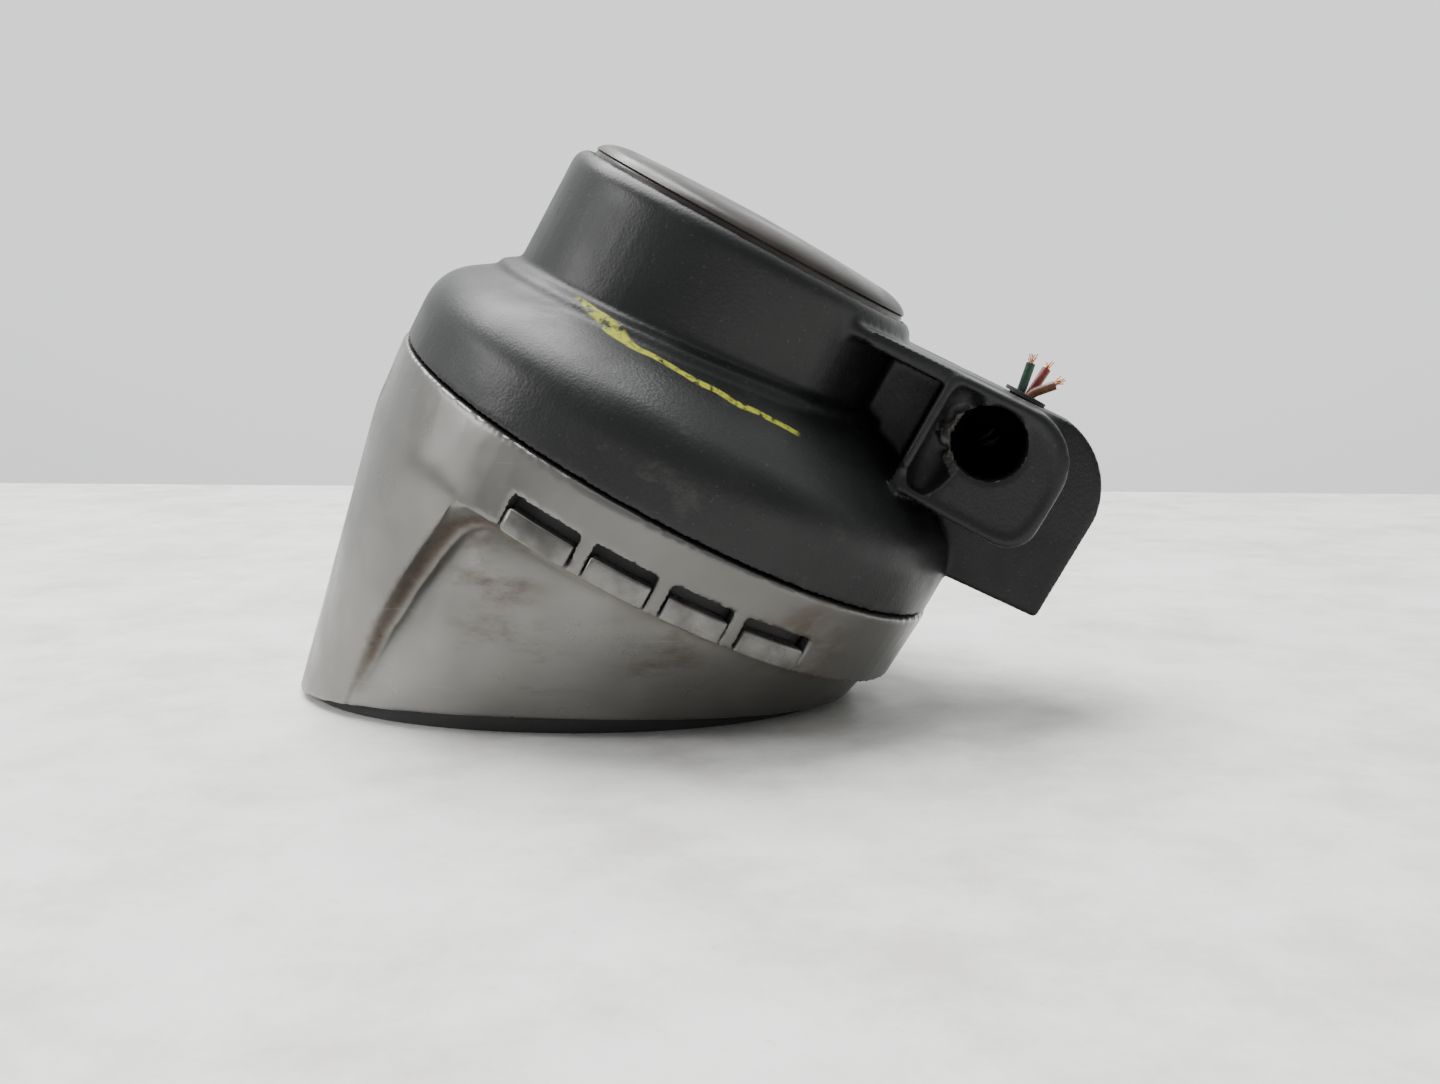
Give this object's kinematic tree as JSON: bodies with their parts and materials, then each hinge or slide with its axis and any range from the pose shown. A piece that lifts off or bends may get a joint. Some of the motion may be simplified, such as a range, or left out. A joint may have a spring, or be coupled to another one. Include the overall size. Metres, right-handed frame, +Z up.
{
  "type": "instrument pod",
  "caption": "Round hooded instrument pod with a silver bezel, push keys in its collar, a black rear housing with a drum and a bracket arm.",
  "frame": {"origin": "middle of the object's box, on the surface that the hood's lip stands on", "axes": "+X towards the bracket arm, +Y away from the keys, +Z up"},
  "size_m": [0.1534, 0.11, 0.1023],
  "materials": {
    "silver_paint": "satin metallic paint over plastic",
    "silver_keys": "satin metallic paint over plastic",
    "black_liner": "fine matt",
    "black_grain": "fine leather-like grain",
    "cap_plastic": "smooth, brownish dust",
    "clear_window": "clear moulded window",
    "black_rubber": "matt",
    "dial_print": "printed face",
    "display_glass": "glossy",
    "clear_guide": "clear moulded plate",
    "pointer_red": "glossy",
    "steel": "bright",
    "motor_case": "glossy",
    "circuit_green": "solder mask",
    "lamp_white": "glossy",
    "connector_cream": "moulded",
    "frame_white": "moulded",
    "circuit_amber": "polyimide film",
    "grey_rubber": "silicone",
    "wire_green": "soft insulation",
    "wire_red": "soft insulation",
    "wire_brown": "soft insulation"
  },
  "bodies": {
    "case": {"bezel_hood": "silver_paint", "hood_liner": "black_liner", "lens": "clear_window", "lens_gasket": "black_rubber", "dial_ring": "black_liner", "dial_plate": "dial_print", "lcd_module": "display_glass", "light_guide": "clear_guide", "pointer_motor": "motor_case", "main_board": "circuit_green", "board_lamps": "lamp_white", "board_connector": "connector_cream", "board_screws": "steel", "chassis": "frame_white", "chassis_screws": "steel", "key_carrier": "black_liner", "key_circuit": "circuit_amber", "key_mat": "grey_rubber", "ribbon_cable": "circuit_amber", "rear_housing": "black_grain", "housing_screws": "steel", "rear_cap": "cap_plastic", "cap_seal": "black_rubber", "wire_grommet": "black_rubber", "wire_green": "wire_green", "wire_red": "wire_red", "wire_brown": "wire_brown"},
    "pointer_set": {"pointer": "pointer_red", "pointer_cap": "black_liner", "motor_shaft": "steel"},
    "key_1_body": {"key_1": "silver_keys"},
    "key_2_body": {"key_2": "silver_keys"},
    "key_3_body": {"key_3": "silver_keys"},
    "key_4_body": {"key_4": "silver_keys"}
  },
  "joints": [
    {"name": "pointer_turn", "type": "hinge", "parent": "case", "child": "pointer_set", "pos_m": [-0.00425, 0, 0.03971], "axis": [0.4871, 0, 0.8733], "range_deg": [0, 240]},
    {"name": "key_1_press", "type": "slide", "parent": "case", "child": "key_1_body", "axis": [0.1125, 0.9917, -0.0627], "range_m": [0, 0.0009], "stiffness_N_per_m": 400, "springref_m": -0.003},
    {"name": "key_2_press", "type": "slide", "parent": "case", "child": "key_2_body", "axis": [-0.1238, 0.9899, 0.0691], "range_m": [0, 0.0009], "stiffness_N_per_m": 400, "springref_m": -0.003},
    {"name": "key_3_press", "type": "slide", "parent": "case", "child": "key_3_body", "axis": [-0.3363, 0.9229, 0.1876], "range_m": [0, 0.0009], "stiffness_N_per_m": 400, "springref_m": -0.003},
    {"name": "key_4_press", "type": "slide", "parent": "case", "child": "key_4_body", "axis": [-0.5401, 0.7859, 0.3012], "range_m": [0, 0.0009], "stiffness_N_per_m": 400, "springref_m": -0.003}
  ]
}
